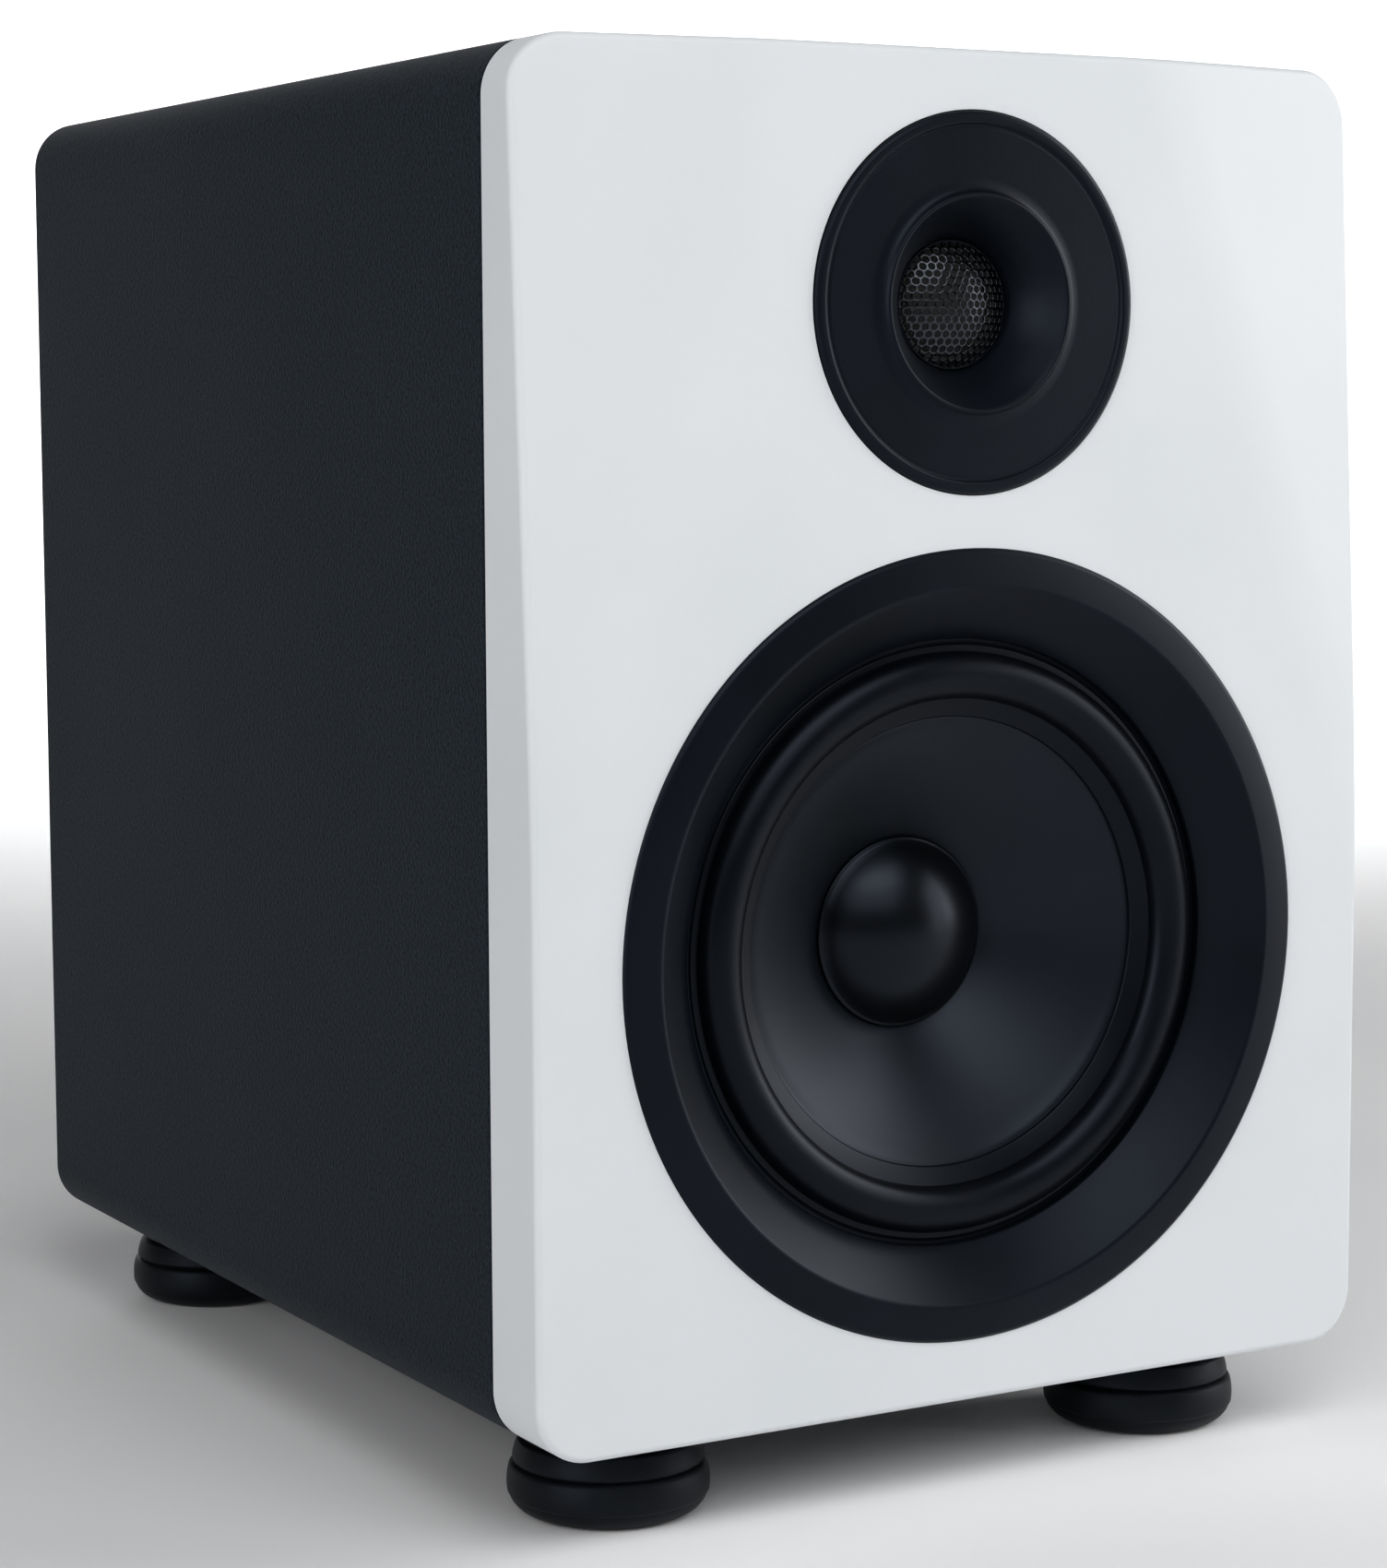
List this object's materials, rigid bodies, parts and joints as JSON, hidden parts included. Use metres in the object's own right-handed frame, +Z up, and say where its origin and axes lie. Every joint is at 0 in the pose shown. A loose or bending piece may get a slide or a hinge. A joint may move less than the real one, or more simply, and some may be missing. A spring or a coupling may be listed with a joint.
{
  "type": "bookshelf speaker",
  "caption": "Two-way bookshelf speaker: wrapped cabinet with a white baffle, woofer, meshed dome tweeter, rear port, binding posts and round rubber feet.",
  "frame": {"origin": "on the floor, under the middle of the whole box", "axes": "+Z up, -Y out of the front baffle, +X to the right as seen from the front"},
  "size_m": [0.2, 0.2732, 0.2941],
  "materials": {
    "vinyl_wrap": "black vinyl-wrapped MDF, fine grain",
    "white_lacquer": "satin white lacquer on MDF",
    "raw_board": "bare MDF",
    "beech": "turned beech dowels",
    "wadding": "polyester wadding",
    "black_plastic": "moulded ABS, fine texture",
    "black_rubber": "moulded rubber",
    "foam_black": "closed-cell foam gasket",
    "coated_steel": "black powder-coated steel",
    "mesh_steel": "black-plated expanded steel",
    "zinc_steel": "zinc-plated steel",
    "ferrite": "sintered ferrite",
    "cone_pulp": "mineral-filled polypropylene",
    "dome_silk": "coated silk",
    "spider_cloth": "resin-dipped cotton",
    "former_paper": "kapton former",
    "copper": "enamelled copper wire",
    "gilt_brass": "gold-flashed brass",
    "red_plastic": "red moulded plastic",
    "post_black": "black moulded plastic",
    "board_green": "solder-masked glass-epoxy",
    "capacitor_film": "wrapped film capacitor",
    "cement": "cement resistor",
    "wire_pvc": "PVC-sheathed wire"
  },
  "bodies": {
    "housing": {"cabinet_shell": "vinyl_wrap", "front_baffle": "white_lacquer", "back_panel": "vinyl_wrap", "cabinet_brace": "raw_board", "baffle_dowels": "beech", "lining_left": "wadding", "lining_right": "wadding", "lining_top": "wadding", "woofer_trim_ring": "black_plastic", "woofer_basket": "coated_steel", "woofer_gasket": "foam_black", "woofer_screws": "coated_steel", "woofer_top_plate": "zinc_steel", "woofer_magnet": "ferrite", "woofer_pole_piece": "zinc_steel", "woofer_terminal_strip": "gilt_brass", "woofer_tinsel_leads": "copper", "woofer_surround": "black_rubber", "woofer_spider": "spider_cloth", "tweeter_faceplate": "black_plastic", "tweeter_mesh": "mesh_steel", "tweeter_surround": "dome_silk", "tweeter_top_plate": "zinc_steel", "tweeter_magnet": "ferrite", "tweeter_pole_piece": "zinc_steel", "tweeter_rear_chamber": "black_plastic", "tweeter_screws": "coated_steel", "port_tube": "black_plastic", "terminal_cup": "black_plastic", "cup_gasket": "foam_black", "cup_screws": "coated_steel", "red_post_stud": "gilt_brass", "black_post_stud": "gilt_brass", "red_post_base": "red_plastic", "black_post_base": "post_black", "post_nuts": "zinc_steel", "crossover_board": "board_green", "crossover_coils": "copper", "crossover_capacitors": "capacitor_film", "crossover_resistor": "cement", "crossover_screws": "zinc_steel", "terminal_wires": "wire_pvc", "woofer_wires": "wire_pvc", "tweeter_wires": "wire_pvc", "foot_front_left": "black_rubber", "foot_front_right": "black_rubber", "foot_back_left": "black_rubber", "foot_back_right": "black_rubber", "foot_screws": "zinc_steel"},
    "woofer_diaphragm": {"woofer_cone": "cone_pulp", "woofer_dust_cap": "black_plastic", "woofer_coil_former": "former_paper", "woofer_voice_coil": "copper"},
    "tweeter_diaphragm": {"tweeter_dome": "dome_silk", "tweeter_voice_coil": "copper"},
    "red_washer": {"red_post_washer": "gilt_brass"},
    "red_cap": {"red_post_cap": "red_plastic"},
    "black_washer": {"black_post_washer": "gilt_brass"},
    "black_cap": {"black_post_cap": "post_black"}
  },
  "joints": [
    {"name": "woofer_stroke", "type": "slide", "parent": "housing", "child": "woofer_diaphragm", "axis": [0, -1, 0], "range_m": [-0.004, 0.004], "stiffness_N_per_m": 1000, "deforming": ["woofer_surround", "woofer_spider", "woofer_tinsel_leads"]},
    {"name": "tweeter_stroke", "type": "slide", "parent": "housing", "child": "tweeter_diaphragm", "axis": [0, -1, 0], "range_m": [-0.0004, 0.0004], "stiffness_N_per_m": 3000, "deforming": ["tweeter_surround"]},
    {"name": "red_cap_turn", "type": "hinge", "parent": "red_washer", "child": "red_cap", "pos_m": [0.0095, 0.12095, 0.0985], "axis": [0, 1, 0], "range_deg": [0, 1800]},
    {"name": "red_washer_slide", "type": "slide", "parent": "housing", "child": "red_washer", "axis": [0, 1, 0], "range_m": [0, 0.00375]},
    {"name": "black_cap_turn", "type": "hinge", "parent": "black_washer", "child": "black_cap", "pos_m": [-0.0095, 0.12095, 0.0985], "axis": [0, 1, 0], "range_deg": [0, 1800]},
    {"name": "black_washer_slide", "type": "slide", "parent": "housing", "child": "black_washer", "axis": [0, 1, 0], "range_m": [0, 0.00375]}
  ],
  "couplings": [
    {"joint": "red_cap_turn", "follows": "red_washer_slide", "rad_per_m": 8377.6},
    {"joint": "black_cap_turn", "follows": "black_washer_slide", "rad_per_m": 8377.6}
  ]
}
